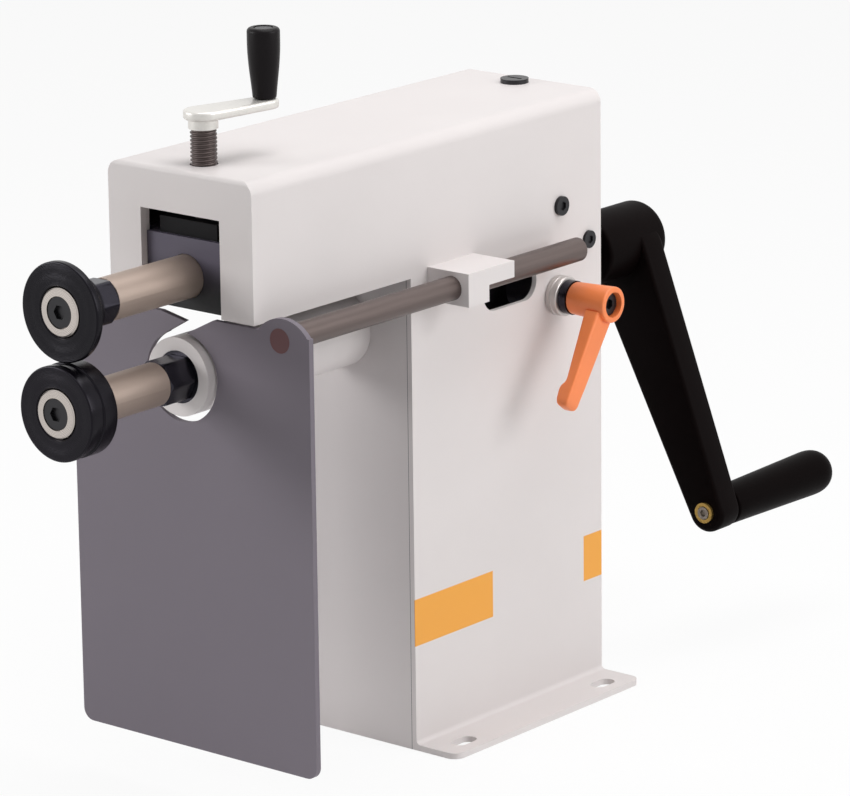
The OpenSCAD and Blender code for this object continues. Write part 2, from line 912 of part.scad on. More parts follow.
module lower_shaft() color(STEEL) {
  collar_r = journal_d / 2 + 2;
  y_collar = y_quill_back + free_gap;
  y_seat = y_gear - lower_gear_w / 2;
  y_end = y_hub_back - crank_washer_t - 1;
  difference() {
    turned_y([
      [0, y_lo + recess_l + 0.5],
      [seat_d / 2, y_lo + recess_l + 0.5],
      [seat_d / 2, y_lo_back],
      [shaft_d / 2, y_lo_back],
      [shaft_d / 2, y_quill_nut - free_gap],
      [journal_d / 2, y_quill_nut - free_gap],
      [journal_d / 2, y_collar],
      [collar_r, y_collar],
      [collar_r, y_seat],
      [drive_d / 2, y_seat],
      [drive_d / 2, y_end],
      [0, y_end]
    ], lower_z);
    bar_y(screw_r + seat_gap, y_lo, y_lo + recess_l + screw_l, 0, lower_z);
    bar_y(crank_screw_r + seat_gap, y_end - crank_screw_l, y_end + 1, 0, lower_z);
    key_slot(y_gear, lower_z);
  }
}

module lower_roller() color(BLUED) {
  y_groove = y_up + rim_w / 2 - groove_w / 2;
  floor_r = lower_roller_r - groove_d;
  turned_y([
    [washer_d / 2 + free_gap, y_lo],
    [lower_roller_r - 1, y_lo],
    [lower_roller_r, y_lo + 1],
    [lower_roller_r, y_groove],
    [floor_r, y_groove + 0.8],
    [floor_r, y_groove + groove_w - 0.8],
    [lower_roller_r, y_groove + groove_w],
    [lower_roller_r, y_lo_back - 1],
    [lower_roller_r - 1, y_lo_back],
    [seat_d / 2 + seat_gap, y_lo_back],
    [seat_d / 2 + seat_gap, y_lo + recess_l],
    [washer_d / 2 + free_gap, y_lo + recess_l]
  ], lower_z);
}

module lower_washer() color(ZINC) roller_washer(y_lo, lower_z);

module lower_roller_screw() color(BLACK) roller_screw(y_lo, lower_z);

module lower_gear() color(STEEL) gear(lower_gear_w, lower_z, 90 + 180 / gear_teeth);

module lower_key() color(STEEL) shaft_key(y_gear, lower_z);

// Place on the crank's grip axis, with the crank hanging along -Z of the shaft
module at_grip() {
  translate([crank_l * sin(crank_angle), 0, lower_z - crank_l * cos(crank_angle)]) children();
}

module main_crank() color(BLACK) {
  difference() {
    union() {
      bar_y(crank_boss_r, y_crank, y_arm + 1, 0, lower_z);
      bar_y(crank_hub_r, y_arm, y_hub_back, 0, lower_z);
      along_y(y_arm, y_arm_back) translate([0, lower_z]) rotate(180 + crank_angle)
        translate([0, crank_root]) taper_bar(crank_root_r, crank_end_r, crank_l - crank_root);
    }
    bar_y(drive_d / 2 + seat_gap, y_crank - 1, y_hub_back - 2, 0, lower_z);
    bar_y(crank_washer_r + free_gap, y_hub_back - crank_washer_t, y_hub_back + 1, 0, lower_z);
    at_grip() bar_y(grip_axle_r + seat_gap, y_arm - 1, y_arm_back + 1);
  }
}

module crank_washer() color(ZINC) {
  difference() {
    bar_y(crank_washer_r, y_hub_back - crank_washer_t, y_hub_back, 0, lower_z);
    bar_y(4 + free_gap, y_hub_back - 4, y_hub_back + 1, 0, lower_z);
  }
}

module crank_screw() color(BLACK) {
  translate([0, y_hub_back, lower_z]) rotate([90, 0, 0])
    socket_screw(crank_screw_head_r, crank_screw_head_l, crank_screw_r, crank_screw_l);
}

module grip_bolt() color(STEEL) {
  at_grip() {
    bar_y(grip_axle_r, y_arm, y_arm_back + grip_l - 16);
    difference() {
      bar_y(4.5, y_arm - 2.5, y_arm + 1);
      translate([0, y_arm - 3, 0]) rotate([-90, 0, 0]) cylinder(r = 2.5, h = 2.5, $fn = 6);
    }
  }
}

module grip_ring() color(BRASS) {
  at_grip() {
    difference() {
      bar_y(7.2, y_arm - 2, y_arm);
      bar_y(4.5 + free_gap, y_arm - 3, y_arm + 1);
    }
  }
}

module crank_grip() color(BLACK) {
  y0 = y_arm_back + 0.5;
  y1 = y_arm_back + grip_l;
  at_grip() turned_y([
    [grip_axle_r + run_gap, y0],
    [grip_r0 - 1, y0],
    [grip_r0, y0 + 2],
    [grip_r1, y1 - 16],
    [grip_r1 - 1.5, y1 - 6],
    [grip_r1 - 5, y1 - 1.5],
    [grip_r1 - 9, y1],
    [0, y1],
    [0, y1 - 15],
    [grip_axle_r + run_gap, y1 - 15]
  ], 0);
}

module thrust_pad() color(STEEL) {
  bore_r = neck_r + run_gap;
  z_floor = z_neck - free_gap;
  translate([0, y_spindle, 0]) rotate_extrude() polygon([
    [0, z_pad],
    [pad_r / 3, z_pad + 0.1],
    [pad_r * 2 / 3, z_pad + 0.5],
    [pad_r - 0.5, z_pad + 1.2],
    [pad_r, z_pad + 2],
    [pad_r, z_pad + pad_t],
    [bore_r, z_pad + pad_t],
    [bore_r, z_floor],
    [0, z_floor]
  ]);
}

module spindle() color(STEEL) {
  translate([0, y_spindle, 0]) rotate_extrude() polygon([
    [0, z_neck],
    [neck_r, z_neck],
    [neck_r, z_thread],
    [spindle_d / 2 - 1.5, z_thread],
    [spindle_d / 2, z_thread + 1.5],
    [spindle_d / 2, z_collar],
    [spigot_r, z_collar],
    [spigot_r, z_top_arm + top_arm_t],
    [0, z_top_arm + top_arm_t]
  ]);
}

module spindle_collar() color(ZINC) {
  translate([0, y_spindle, z_collar]) difference() {
    cylinder(r = spindle_d / 2 + 1, h = collar_h);
    translate([0, 0, -1]) cylinder(r = spigot_r + seat_gap, h = collar_h + 2);
  }
}

// Frame of the top crank: its arm runs along +Y of this frame
module at_top_crank() {
  translate([0, y_spindle, 0]) rotate(-top_crank_angle) children();
}

module top_crank_arm() color(ZINC) {
  at_top_crank() difference() {
    translate([0, 0, z_top_arm]) linear_extrude(height = top_arm_t)
      taper_bar(top_hub_r, top_end_r, top_crank_l);
    translate([0, 0, z_top_arm - 1]) cylinder(r = spigot_r + seat_gap, h = top_arm_t + 2);
    translate([0, top_crank_l, z_top_arm - 1]) cylinder(r = top_axle_r + seat_gap, h = top_arm_t + 2);
  }
}

module top_grip_axle() color(ZINC) {
  at_top_crank() translate([0, top_crank_l, 0]) {
    translate([0, 0, z_top_arm]) cylinder(r = top_axle_r, h = top_arm_t + top_grip_l - 1);
    translate([0, 0, z_top_grip + top_grip_l - 2]) cylinder(r = 5.5, h = 1.6);
  }
}

module top_grip() color(BLACK) {
  z0 = z_top_grip;
  z1 = z_top_grip + top_grip_l;
  at_top_crank() translate([0, top_crank_l, 0]) rotate_extrude() polygon([
    [top_axle_r + run_gap, z0],
    [7.6, z0],
    [8.2, z0 + 0.8],
    [9.6, z0 + top_grip_l * 0.45],
    [10.5, z1 - 12],
    [10.5, z1 - 5],
    [10, z1 - 2],
    [8.6, z1],
    [6.2, z1],
    [6.2, z1 - 2.5],
    [top_axle_r + run_gap, z1 - 2.5]
  ]);
}

// Outline of the guide plate, drawn in x and z
module plate_outline() {
  translate([plate_left, plate_foot + plate_r])
    square([plate_w, plate_top - plate_foot - plate_r]);
  translate([plate_left + plate_r, plate_foot]) square([plate_w - 2 * plate_r, plate_r + 1]);
  for (x = [plate_left + plate_r, plate_right - plate_r]) {
    translate([x, plate_foot + plate_r]) circle(plate_r);
  }
  intersection() {
    translate([rod_x + ear_dx, rod_z + ear_dz]) circle(ear_r);
    translate([rod_x - ear_r, plate_top - ear_r]) square([plate_right - rod_x + ear_r, 2 * ear_r]);
  }
}

// Slanted mouth that opens the plate's tube hole to its top edge
module plate_mouth() {
  top = plate_top - lower_z;
  translate([0, lower_z]) polygon([
    [-mouth_left, top + 1],
    [mouth_tip, top - mouth_tip_drop],
    [-mouth_notch, top - mouth_notch_drop],
    [-mouth_root, top - mouth_root_drop],
    [mouth_right, top + 1]
  ]);
}

module guide_plate() color(VIOLET_GREY) {
  along_y(y_plate, y_plate + plate_t) difference() {
    plate_outline();
    translate([0, lower_z]) circle(plate_hole_r);
    translate([-2.5, lower_z - 1.5]) circle(plate_hole_r + 2);
    plate_mouth();
    translate([rod_x, rod_z]) circle(rod_d / 2 + seat_gap);
  }
}

module guide_rod() color(STEEL) {
  bar_y(rod_d / 2, y_plate, rod_back, rod_x, rod_z);
}

module clamp_stud() color(BLUED) {
  x_tip = quill_d / 2 - quill_flat + free_gap;
  difference() {
    union() {
      bar_x(stud_r, x_tip, x_neck + 1, lever_y, lower_z);
      bar_x(neck_rad, x_neck, x_neck + neck_l, lever_y, lower_z);
      bar_x(post_r, x_neck, x_neck + neck_l + post_l, lever_y, lower_z);
    }
    bar_x(lever_screw_r + seat_gap, x_neck + neck_l, x_web + 1, lever_y, lower_z);
  }
}

module lever_screw() color(BLACK) {
  x_head = x_web + hub_web + pull;
  translate([x_head, lever_y, lower_z]) rotate([0, -90, 0])
    socket_screw(lever_head_r, lever_head_l, lever_screw_r, hub_web + pull + lever_bite);
}

module lever_spring() color(STEEL) {
  x0 = x_web + hub_web + 0.1;
  difference() {
    bar_x(6, x0, x0 + pull - 0.2, lever_y, lower_z);
    bar_x(4.5, x0 - 1, x0 + pull, lever_y, lower_z);
  }
}

module clamp_lever() color(ORANGE) {
  x1 = x_hub + hub_l;
  root_x = x1 - 8.5;
  tip_x = x1 - 5.2;
  tip_z = -lever_l + 8;
  translate([0, lever_y, lower_z]) difference() {
    union() {
      translate([x_hub, 0, 0]) rotate([0, 90, 0]) cylinder(r1 = hub_r - 0.6, r2 = hub_r + 0.6, h = hub_l);
      rotate([-lever_angle, 0, 0]) {
        hull($fn = 32) {
          translate([root_x, 0, -4]) rotate([90, 0, 0]) cylinder(r = 8, h = 16, center = true);
          translate([tip_x, 0, tip_z]) rotate([90, 0, 0]) cylinder(r = 5, h = 11, center = true);
        }
        hull($fn = 32) {
          translate([tip_x, 0, tip_z - 2]) cube([12.5, 14.5, 12], center = true);
          translate([tip_x, 0, tip_z]) cube([9, 11, 19], center = true);
        }
      }
    }
    translate([x_hub - 1, 0, 0]) rotate([0, 90, 0])
      cylinder(r = post_r + run_gap, h = post_l + free_gap + 1);
    translate([x_hub, 0, 0]) rotate([0, 90, 0]) cylinder(r = lever_screw_r + free_gap, h = hub_l);
    translate([x_web + hub_web, 0, 0]) rotate([0, 90, 0]) cylinder(r = socket_r, h = hub_l);
  }
}

housing();
front_plate();
column_plate();
rear_cover();
cover_screws();
lower_tube();
bulkhead();
pivot_plates();
pivot_screws();
bracket_screws();
oil_plug();
spindle_nut();
rod_block();
rod_block_screws();
clamp_ring();
clamp_boss();
rear_bearing();
rear_bearing_screws();
rear_bush();
swing_arm();
upper_front_bush();
upper_rear_bush();
keeper();
upper_shaft();
upper_roller();
upper_nut();
upper_washer();
upper_roller_screw();
upper_gear();
upper_key();
quill();
quill_nut();
quill_bushes();
lower_shaft();
lower_roller();
lower_washer();
lower_roller_screw();
lower_gear();
lower_key();
main_crank();
crank_washer();
crank_screw();
grip_bolt();
grip_ring();
crank_grip();
thrust_pad();
spindle();
spindle_collar();
top_crank_arm();
top_grip_axle();
top_grip();
guide_plate();
guide_rod();
clamp_stud();
lever_screw();
lever_spring();
clamp_lever();
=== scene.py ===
"""Looks of the bench creasing machine: materials, soft-edged pieces, light and camera."""
import json
import math

import bpy
import numpy as np
from mathutils import Matrix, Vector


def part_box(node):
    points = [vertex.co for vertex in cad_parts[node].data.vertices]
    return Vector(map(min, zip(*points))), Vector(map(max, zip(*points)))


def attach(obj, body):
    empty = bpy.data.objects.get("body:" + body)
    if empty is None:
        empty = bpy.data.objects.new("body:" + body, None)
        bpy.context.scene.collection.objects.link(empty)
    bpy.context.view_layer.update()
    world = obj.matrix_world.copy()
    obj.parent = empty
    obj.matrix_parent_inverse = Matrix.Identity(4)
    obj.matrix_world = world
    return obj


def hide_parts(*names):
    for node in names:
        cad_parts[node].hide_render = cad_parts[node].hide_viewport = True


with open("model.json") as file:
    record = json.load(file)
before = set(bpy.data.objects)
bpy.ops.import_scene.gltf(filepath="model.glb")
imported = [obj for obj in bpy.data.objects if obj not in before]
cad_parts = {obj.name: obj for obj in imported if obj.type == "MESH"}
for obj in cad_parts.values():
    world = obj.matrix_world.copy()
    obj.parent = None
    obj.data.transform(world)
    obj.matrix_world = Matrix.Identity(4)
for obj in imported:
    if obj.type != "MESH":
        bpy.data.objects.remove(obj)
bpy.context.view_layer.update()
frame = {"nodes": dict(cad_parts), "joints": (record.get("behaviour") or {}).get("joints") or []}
nodes = frame["nodes"]
scene = bpy.context.scene


# Places that the frame gives, in metres

X, Y, Z = 0, 1, 2


def joint_point(name):
    """A point on the axis of a joint."""
    return next(joint["pos_m"] for joint in frame["joints"] if joint["name"] == name)


def span(node, axis):
    """Lowest and highest place of a node along one axis."""
    low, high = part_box(node)
    return low[axis], high[axis]


def half_width(node, axis):
    """Half of a node's size along one axis: the radius of a round piece."""
    low, high = span(node, axis)
    return (high - low) / 2.0


LOWER_Z = joint_point("crank_turn")[Z]
UPPER_Z = joint_point("upper_turn")[Z]
SPINDLE_Y = joint_point("spindle_turn")[Y]
LEVER_Y = joint_point("lever_turn")[Y]
GRIP_X, _, GRIP_Z = joint_point("crank_grip_spin")
TOP_GRIP_X, TOP_GRIP_Y, _ = joint_point("top_grip_spin")
WALL_X = span("front_plate", X)[1]
TOP_Z = span("housing", Z)[1]
COLUMN_Y = span("column_plate", Y)[0]
ROD_END_Y = span("guide_rod", Y)[0]

# Sizes that the frame's boxes don't show

SHEET_T = 0.004
BEND_R = 0.009
STRIPE_Z = (0.0715, 0.1035)
STRIPE_FRONT_END = -0.0186
STRIPE_REAR_START = 0.080
FAR = 1.0


# Shader maths

class Val:
    """One shader socket. Each operator adds a Math node, so a formula reads as maths."""

    def __init__(self, tree, socket):
        self.tree = tree
        self.socket = socket

    def add(self, kind, inputs=None, out=0, **settings):
        """Adds one node, links or sets its inputs by index or name, and returns one output."""
        node = self.tree.nodes.new(kind)
        for key, value in settings.items():
            setattr(node, key, value)
        for key, value in (inputs or {}).items():
            if isinstance(value, Val):
                self.tree.links.new(value.socket, node.inputs[key])
            else:
                node.inputs[key].default_value = value
        return Val(self.tree, node.outputs[out])

    def math(self, operation, other=0.0):
        """One Math node with this socket first."""
        return self.add("ShaderNodeMath", {0: self, 1: other}, operation=operation)

    def __add__(self, other):
        return self.math("ADD", other)

    def __sub__(self, other):
        return self.math("SUBTRACT", other)

    def __mul__(self, other):
        return self.math("MULTIPLY", other)

    def __radd__(self, other):
        return self + other

    def __rmul__(self, other):
        return self * other

    def __rsub__(self, other):
        return self * -1.0 + other

    def __abs__(self):
        return self.math("ABSOLUTE")

    def __pow__(self, other):
        return self.math("POWER", other)

    def sin(self):
        """Sine of an angle in radians."""
        return self.math("SINE")

    def ramp(self, low, high):
        """Smooth step from 0 at low to 1 at high."""
        return self.add("ShaderNodeMapRange", {0: self, 1: low, 2: high},
                        interpolation_type="SMOOTHSTEP")

    def band(self, low, high, soft):
        """1 between low and high, 0 outside, with soft edges."""
        return self.ramp(low - soft, low + soft) * (1.0 - self.ramp(high - soft, high + soft))


class Surface:
    """A material with its shader, and the object's coordinates as sockets."""

    def __init__(self, name):
        self.material = bpy.data.materials.new(name)
        self.material.use_nodes = True
        self.tree = self.material.node_tree
        self.shader = next(n for n in self.tree.nodes if n.type == "BSDF_PRINCIPLED")
        self.point = Val(self.tree, None).add("ShaderNodeTexCoord", out="Object")
        split = self.point.add("ShaderNodeSeparateXYZ", {0: self.point})
        axes = split.socket.node.outputs
        self.x, self.y, self.z = (Val(self.tree, axis) for axis in axes)

    def noise(self, scale, detail=2.0, stretch=(1, 1, 1)):
        """Noise from 0 to 1 with about one feature per 1/scale metres."""
        moved = self.point.add("ShaderNodeMapping", {"Vector": self.point, "Scale": stretch})
        return moved.add("ShaderNodeTexNoise",
                         {"Vector": moved, "Scale": scale, "Detail": detail})

    def mix(self, factor, first, second):
        """Colour between two colours or sockets."""
        return self.point.add("ShaderNodeMix", {0: factor, 6: first, 7: second}, out=2,
                              data_type="RGBA")

    def bump(self, height, distance, strength=1.0):
        """Fine relief of the surface from a height of 0 to 1, times the distance in metres."""
        normal = self.point.add("ShaderNodeBump", {"Height": height, "Distance": distance,
                                                   "Strength": strength})
        self.put("Normal", normal)

    def put(self, name, value):
        """Links or sets one input of the shader."""
        if isinstance(value, Val):
            self.tree.links.new(value.socket, self.shader.inputs[name])
        else:
            self.shader.inputs[name].default_value = value

    def radius(self, z, x=0.0):
        """Distance from an axis along Y through x and z."""
        return ((self.x - x) ** 2.0 + (self.z - z) ** 2.0) ** 0.5


def srgb(red, green, blue):
    """Linear colour from eight-bit display values."""
    def linear(value):
        value = value / 255.0
        return value / 12.92 if value <= 0.04045 else ((value + 0.055) / 1.055) ** 2.4
    return (linear(red), linear(green), linear(blue), 1.0)


def shade(color, factor):
    """The colour times a factor, at most white."""
    return tuple(min(1.0, c * factor) for c in color[:3]) + (1.0,)


# Materials

WHITE = srgb(222, 216, 215)
# Painted shade: a near-black colour for the hidden insides of the housing and of the tube behind the column
# front.
INSIDE_SHADE = srgb(44, 42, 44)
STRIPE = srgb(240, 167, 68)

# Edges between finishes: half of a stripe's soft edge, the depth of the wall's painted skin, and the places
# where a finish or a painted shade starts and ends to fade, from the face or axis that it belongs to
CRISP = 0.0003
SKIN = 0.0004
SKIN_SOFT = 0.0001
SHELL_SHADE_FADE = (0.0002, 0.0005)
TUBE_SHADE_FADE = (0.0015, 0.0025)
SAWN_FADE = (0.0001, 0.0005)
NOSE_SHADE_FADE = (-0.0115, 0.0165)


def powder_coat(name, color, stripe=False, painted_shade_mask=None, rough=0.42):
    """Sprayed paint: faint tone drift and fine orange peel, with painted shade in near-black where the given
    mask is 1.
    """
    s = Surface(name)
    drift = s.noise(14.0, 3.0)
    base = s.mix(drift, shade(color, 0.965), shade(color, 1.03))
    if stripe:
        height = s.z.band(STRIPE_Z[0], STRIPE_Z[1], CRISP)
        front = s.y.band(-FAR, STRIPE_FRONT_END, CRISP)
        rear = s.y.band(STRIPE_REAR_START, FAR, CRISP)
        wall = abs(s.x).band(WALL_X - SKIN, FAR, SKIN_SOFT)
        base = s.mix(height * (front + rear) * wall, base, STRIPE)
    # Painted shade: the colour goes near-black where the mask is 1, on the shaded insides.
    if painted_shade_mask:
        base = s.mix(painted_shade_mask(s), base, INSIDE_SHADE)
    s.put("Base Color", base)
    s.put("Roughness", rough + 0.06 * s.noise(60.0))
    s.put("Specular IOR Level", 0.35)
    s.bump(s.noise(900.0, 1.0), 0.00006, 0.35)
    return s.material


def inside_shell(s):
    """1 on the inner faces of the side walls and the top sheet, and round the bends between them: where the
    inside of the housing gets painted shade.
    """
    out = (abs(s.x) - (WALL_X - BEND_R)).math("MAXIMUM", 0.0)
    up = (s.z - (TOP_Z - BEND_R)).math("MAXIMUM", 0.0)
    inner_r = BEND_R - SHEET_T
    radius = (out ** 2.0 + up ** 2.0).math("SQRT")
    return 1.0 - radius.ramp(inner_r + SHELL_SHADE_FADE[0], inner_r + SHELL_SHADE_FADE[1])


def behind_column_front(s):
    """1 on what lies behind the column's front plate: where the tube gets painted shade inside the column.
    """
    return s.y.ramp(COLUMN_Y + TUBE_SHADE_FADE[0], COLUMN_Y + TUBE_SHADE_FADE[1])


def satin_metal(name, color, rough, metallic=0.9, stretch=(1, 1, 1)):
    """Machined metal: fine lines across the stretch, with faint tone drift."""
    s = Surface(name)
    lines = s.noise(700.0, 2.0, stretch)
    drift = s.noise(25.0, 2.0)
    s.put("Base Color", s.mix(0.6 * lines + 0.4 * drift, shade(color, 0.86), shade(color, 1.1)))
    s.put("Metallic", metallic)
    s.put("Roughness", rough + 0.12 * (lines - 0.5))
    s.bump(lines, 0.00002, 0.4)
    return s.material


def turned_metal(name, color, rough, z, metallic=0.85, shine=0.5, pitch=0.0009):
    """Lathe-turned metal: rings around the axis along Y at height z."""
    s = Surface(name)
    rings = (s.radius(z) * (2.0 * math.pi / pitch) + 3.0 * s.noise(90.0)).sin() * 0.5 + 0.5
    drift = s.noise(30.0, 2.0)
    s.put("Base Color", s.mix(0.5 * rings + 0.5 * drift, shade(color, 0.8), shade(color, 1.15)))
    s.put("Metallic", metallic)
    s.put("Roughness", rough + 0.08 * (rings - 0.5))
    s.put("Specular IOR Level", shine)
    s.bump(rings, 0.00003, 0.35)
    return s.material


def moulded(name, color, rough, grain, depth, coat=0.0, shine=0.5):
    """Moulded plastic or thick paint with a fine grain."""
    s = Surface(name)
    drift = s.noise(40.0, 2.0)
    s.put("Base Color", s.mix(drift, shade(color, 0.9), shade(color, 1.08)))
    s.put("Roughness", rough + 0.08 * (s.noise(120.0) - 0.5))
    s.put("Coat Weight", coat)
    s.put("Specular IOR Level", shine)
    s.bump(s.noise(grain, 1.0), depth, 0.4)
    return s.material


def arm_casting():
    """Dark casting of the swing arm, with painted shade that turns it nearly black below its top edge."""
    s = Surface("arm_casting")
    ragged_z = s.z + 0.004 * (s.noise(60.0) - 0.5)
    lit_top = ragged_z.ramp(UPPER_Z + NOSE_SHADE_FADE[0], UPPER_Z + NOSE_SHADE_FADE[1])
    # Painted shade: near-black below a ragged line under the nose's top edge, lighter casting colour above
    # it.
    s.put("Base Color", s.mix(lit_top, srgb(14, 13, 16), srgb(88, 83, 97)))
    s.put("Roughness", 0.5 + 0.1 * (s.noise(90.0) - 0.5))
    s.put("Specular IOR Level", 0.3)
    s.bump(s.noise(500.0, 1.0), 0.0001, 0.4)
    return s.material


def guide_rod_metal():
    """Drawn steel rod with faint lines along its length and a reddish sawn front end."""
    s = Surface("rod_steel")
    lines = s.noise(900.0, 2.0, (1, 0.03, 1))
    end = 1.0 - s.y.ramp(ROD_END_Y + SAWN_FADE[0], ROD_END_Y + SAWN_FADE[1])
    steel = s.mix(lines, srgb(95, 84, 81), srgb(105, 93, 90))
    s.put("Base Color", s.mix(end, steel, srgb(110, 82, 84)))
    s.put("Metallic", 0.75)
    s.put("Roughness", 0.4 + 0.08 * (lines - 0.5))
    s.bump(lines, 0.00002, 0.3)
    return s.material


# The housing gets painted shade on its inner faces.
paint_striped = powder_coat("white_coat_striped", WHITE, stripe=True, painted_shade_mask=inside_shell)
paint_plain = powder_coat("white_coat", WHITE)
# The tube gets painted shade where it runs inside the column.
paint_tube = powder_coat("white_coat_tube", WHITE, painted_shade_mask=behind_column_front)
plate_paint = powder_coat("plate_coat", srgb(115, 108, 117), rough=0.5)
casting = moulded("dark_casting", srgb(84, 80, 90), rough=0.55, grain=500.0, depth=0.0001)
nose_casting = arm_casting()
# Painted shade: the keeper is near-black to stand for the shade inside the window.
inner_black = moulded("inner_black", srgb(22, 21, 23), rough=0.6, grain=500.0, depth=0.0001, shine=0.1)
shaft_steel = satin_metal("shaft_steel", srgb(166, 149, 138), rough=0.45, metallic=0.5, stretch=(1, 12, 1))
plain_steel = satin_metal("plain_steel", srgb(150, 142, 134), rough=0.4)
upper_blued = turned_metal("upper_blued", srgb(19, 17, 23), rough=0.25, z=UPPER_Z, metallic=0.6, shine=0.25)
lower_blued = turned_metal("lower_blued", srgb(21, 18, 25), rough=0.25, z=LOWER_Z, metallic=0.6, shine=0.25)
nut_black = satin_metal("nut_black", srgb(50, 48, 56), rough=0.24, metallic=0.8, stretch=(1, 6, 1))
screw_black = satin_metal("screw_black", srgb(36, 35, 38), rough=0.36, metallic=0.5)
upper_bright = turned_metal("upper_bright", srgb(186, 178, 172), rough=0.28, z=UPPER_Z, metallic=0.9)
lower_bright = turned_metal("lower_bright", srgb(186, 178, 172), rough=0.28, z=LOWER_Z, metallic=0.9)
zinc = satin_metal("zinc_plate", srgb(222, 219, 214), rough=0.34, metallic=0.45)
ring_steel = satin_metal("ring_steel", srgb(196, 190, 187), rough=0.32, metallic=0.6)
bronze = satin_metal("bush_bronze", srgb(172, 138, 88), rough=0.4)
brass = satin_metal("ring_brass", srgb(205, 170, 95), rough=0.3)
crank_paint = moulded("crank_paint", srgb(10, 5, 5), rough=0.5, grain=700.0, depth=0.00008, shine=0.03)
grip_plastic = moulded("grip_plastic", srgb(9, 5, 5), rough=0.42, grain=1200.0, depth=0.00005, shine=0.02)
top_plastic = moulded("top_grip_plastic", srgb(17, 13, 15), rough=0.38, grain=1200.0, depth=0.00005,
                      shine=0.12)
lever_plastic = moulded("lever_plastic", srgb(246, 135, 75), rough=0.4, grain=1400.0, depth=0.00005,
                        coat=0.05)
rod_metal = guide_rod_metal()
thread_metal = satin_metal("thread_steel", srgb(92, 82, 80), rough=0.4, metallic=0.7)

LOOKS = [
    (paint_striped, "housing"),
    (paint_plain, "front_plate column_plate rear_cover rod_block"),
    (paint_tube, "lower_tube"),
    (plate_paint, "guide_plate"),
    (casting, "bulkhead pivot_plates clamp_boss rear_bearing"),
    (nose_casting, "swing_arm"),
    (inner_black, "keeper"),
    (shaft_steel, "upper_shaft lower_shaft"),
    (plain_steel, "spindle_nut upper_gear upper_key lower_gear lower_key grip_bolt "
                  "thrust_pad lever_spring"),
    (thread_metal, "spindle"),
    (rod_metal, "guide_rod"),
    (upper_blued, "upper_roller"),
    (lower_blued, "lower_roller"),
    (nut_black, "upper_nut quill quill_nut clamp_stud"),
    (screw_black, "cover_screws pivot_screws bracket_screws oil_plug rod_block_screws "
                  "rear_bearing_screws upper_roller_screw lower_roller_screw crank_screw lever_screw "
                  "top_grip_axle"),
    (upper_bright, "upper_washer"),
    (lower_bright, "lower_washer crank_washer"),
    (zinc, "spindle_collar top_crank_arm"),
    (ring_steel, "clamp_ring"),
    (bronze, "rear_bush upper_front_bush upper_rear_bush quill_bushes"),
    (brass, "grip_ring"),
    (crank_paint, "main_crank"),
    (grip_plastic, "crank_grip"),
    (top_plastic, "top_grip"),
    (lever_plastic, "clamp_lever"),
]
for look, names in LOOKS:
    for name in names.split():
        slots = nodes[name].material_slots
        for slot in slots:
            slot.material = look
        if not slots:
            nodes[name].data.materials.append(look)


# Surfaces made from formulas

def mesh_from_grid(name, grid, material, smooth_angle=40.0, ring=False):
    """Tube of quads from rings of points. It closes on itself if ring is set, or else in flat caps."""
    rows, columns, _ = grid.shape
    index = np.arange(rows * columns).reshape(rows, columns)
    beside = np.roll(index, -1, axis=1)
    quads = np.stack([index, beside, np.roll(beside, -1, axis=0), np.roll(index, -1, axis=0)], axis=2)
    faces = (quads if ring else quads[:-1]).reshape(-1, 4).tolist()
    if not ring:
        faces += [index[0, ::-1].tolist(), index[-1].tolist()]
    mesh = bpy.data.meshes.new(name)
    mesh.from_pydata(grid.reshape(-1, 3).tolist(), [], faces)
    mesh.materials.append(material)
    mesh.shade_smooth()
    mesh.set_sharp_from_angle(angle=math.radians(smooth_angle))
    piece = bpy.data.objects.new(name, mesh)
    scene.collection.objects.link(piece)
    return piece


def turned_grid(radius, station, turn, center, axis):
    """Points at a radius and a station along the axis, for each angle of turn."""
    across = radius * np.cos(turn)
    along = radius * np.sin(turn)
    station = station + 0.0 * across
    cx, cy, cz = center
    if axis == "y":
        return np.stack([cx + along, cy + station, cz + across], axis=2)
    if axis == "z":
        return np.stack([cx + across, cy + along, cz + station], axis=2)
    return np.stack([cx + station, cy + across, cz + along], axis=2)


def profile(*parts):
    """One array of (radius, station) points from single points and runs of points."""
    return np.concatenate([np.reshape(part, (-1, 2)) for part in parts])


def lathe(name, points, center, axis, material, columns=96):
    """Surface of revolution: each profile point (radius, station) becomes one ring around the axis. The
    profile runs from the bore out, along the outside and back in, and closes through the bore."""
    turn = np.linspace(0.0, 2.0 * math.pi, columns, endpoint=False)[None, :]
    grid = turned_grid(points[:, :1], points[:, 1:], turn, center, axis)
    return mesh_from_grid(name, grid, material, ring=True)


def arc(center, radius, start, stop, count=7):
    """Points of a circular arc in the plane of radius and station, angles in degrees."""
    angle = np.radians(np.linspace(start, stop, count))
    return np.stack([center[0] + radius * np.cos(angle), center[1] + radius * np.sin(angle)], axis=1)


def turning_marks(r0, r1, station, pitch=0.0008, depth=0.00007, steps=8):
    """Profile of a turned face from radius r0 to r1: a fine wave, one groove per pitch of the tool."""
    grooves = max(1, round((r1 - r0) / pitch))
    r = np.linspace(r0, r1, grooves * steps + 1)
    wave = 0.5 - 0.5 * np.cos(2.0 * math.pi * grooves * (r - r0) / (r1 - r0))
    return np.stack([r, station + depth * wave], axis=1)


# Corners of a nut: the cone's radius at the end as a share of the flat's, its slope, and the rings' depths
NUT_CONE_START = 0.97
NUT_CONE_SLOPE = math.tan(math.radians(60.0))
NUT_RINGS = np.array([0.0, 0.0002, 0.0004, 0.0006, 0.0009, 0.0012])


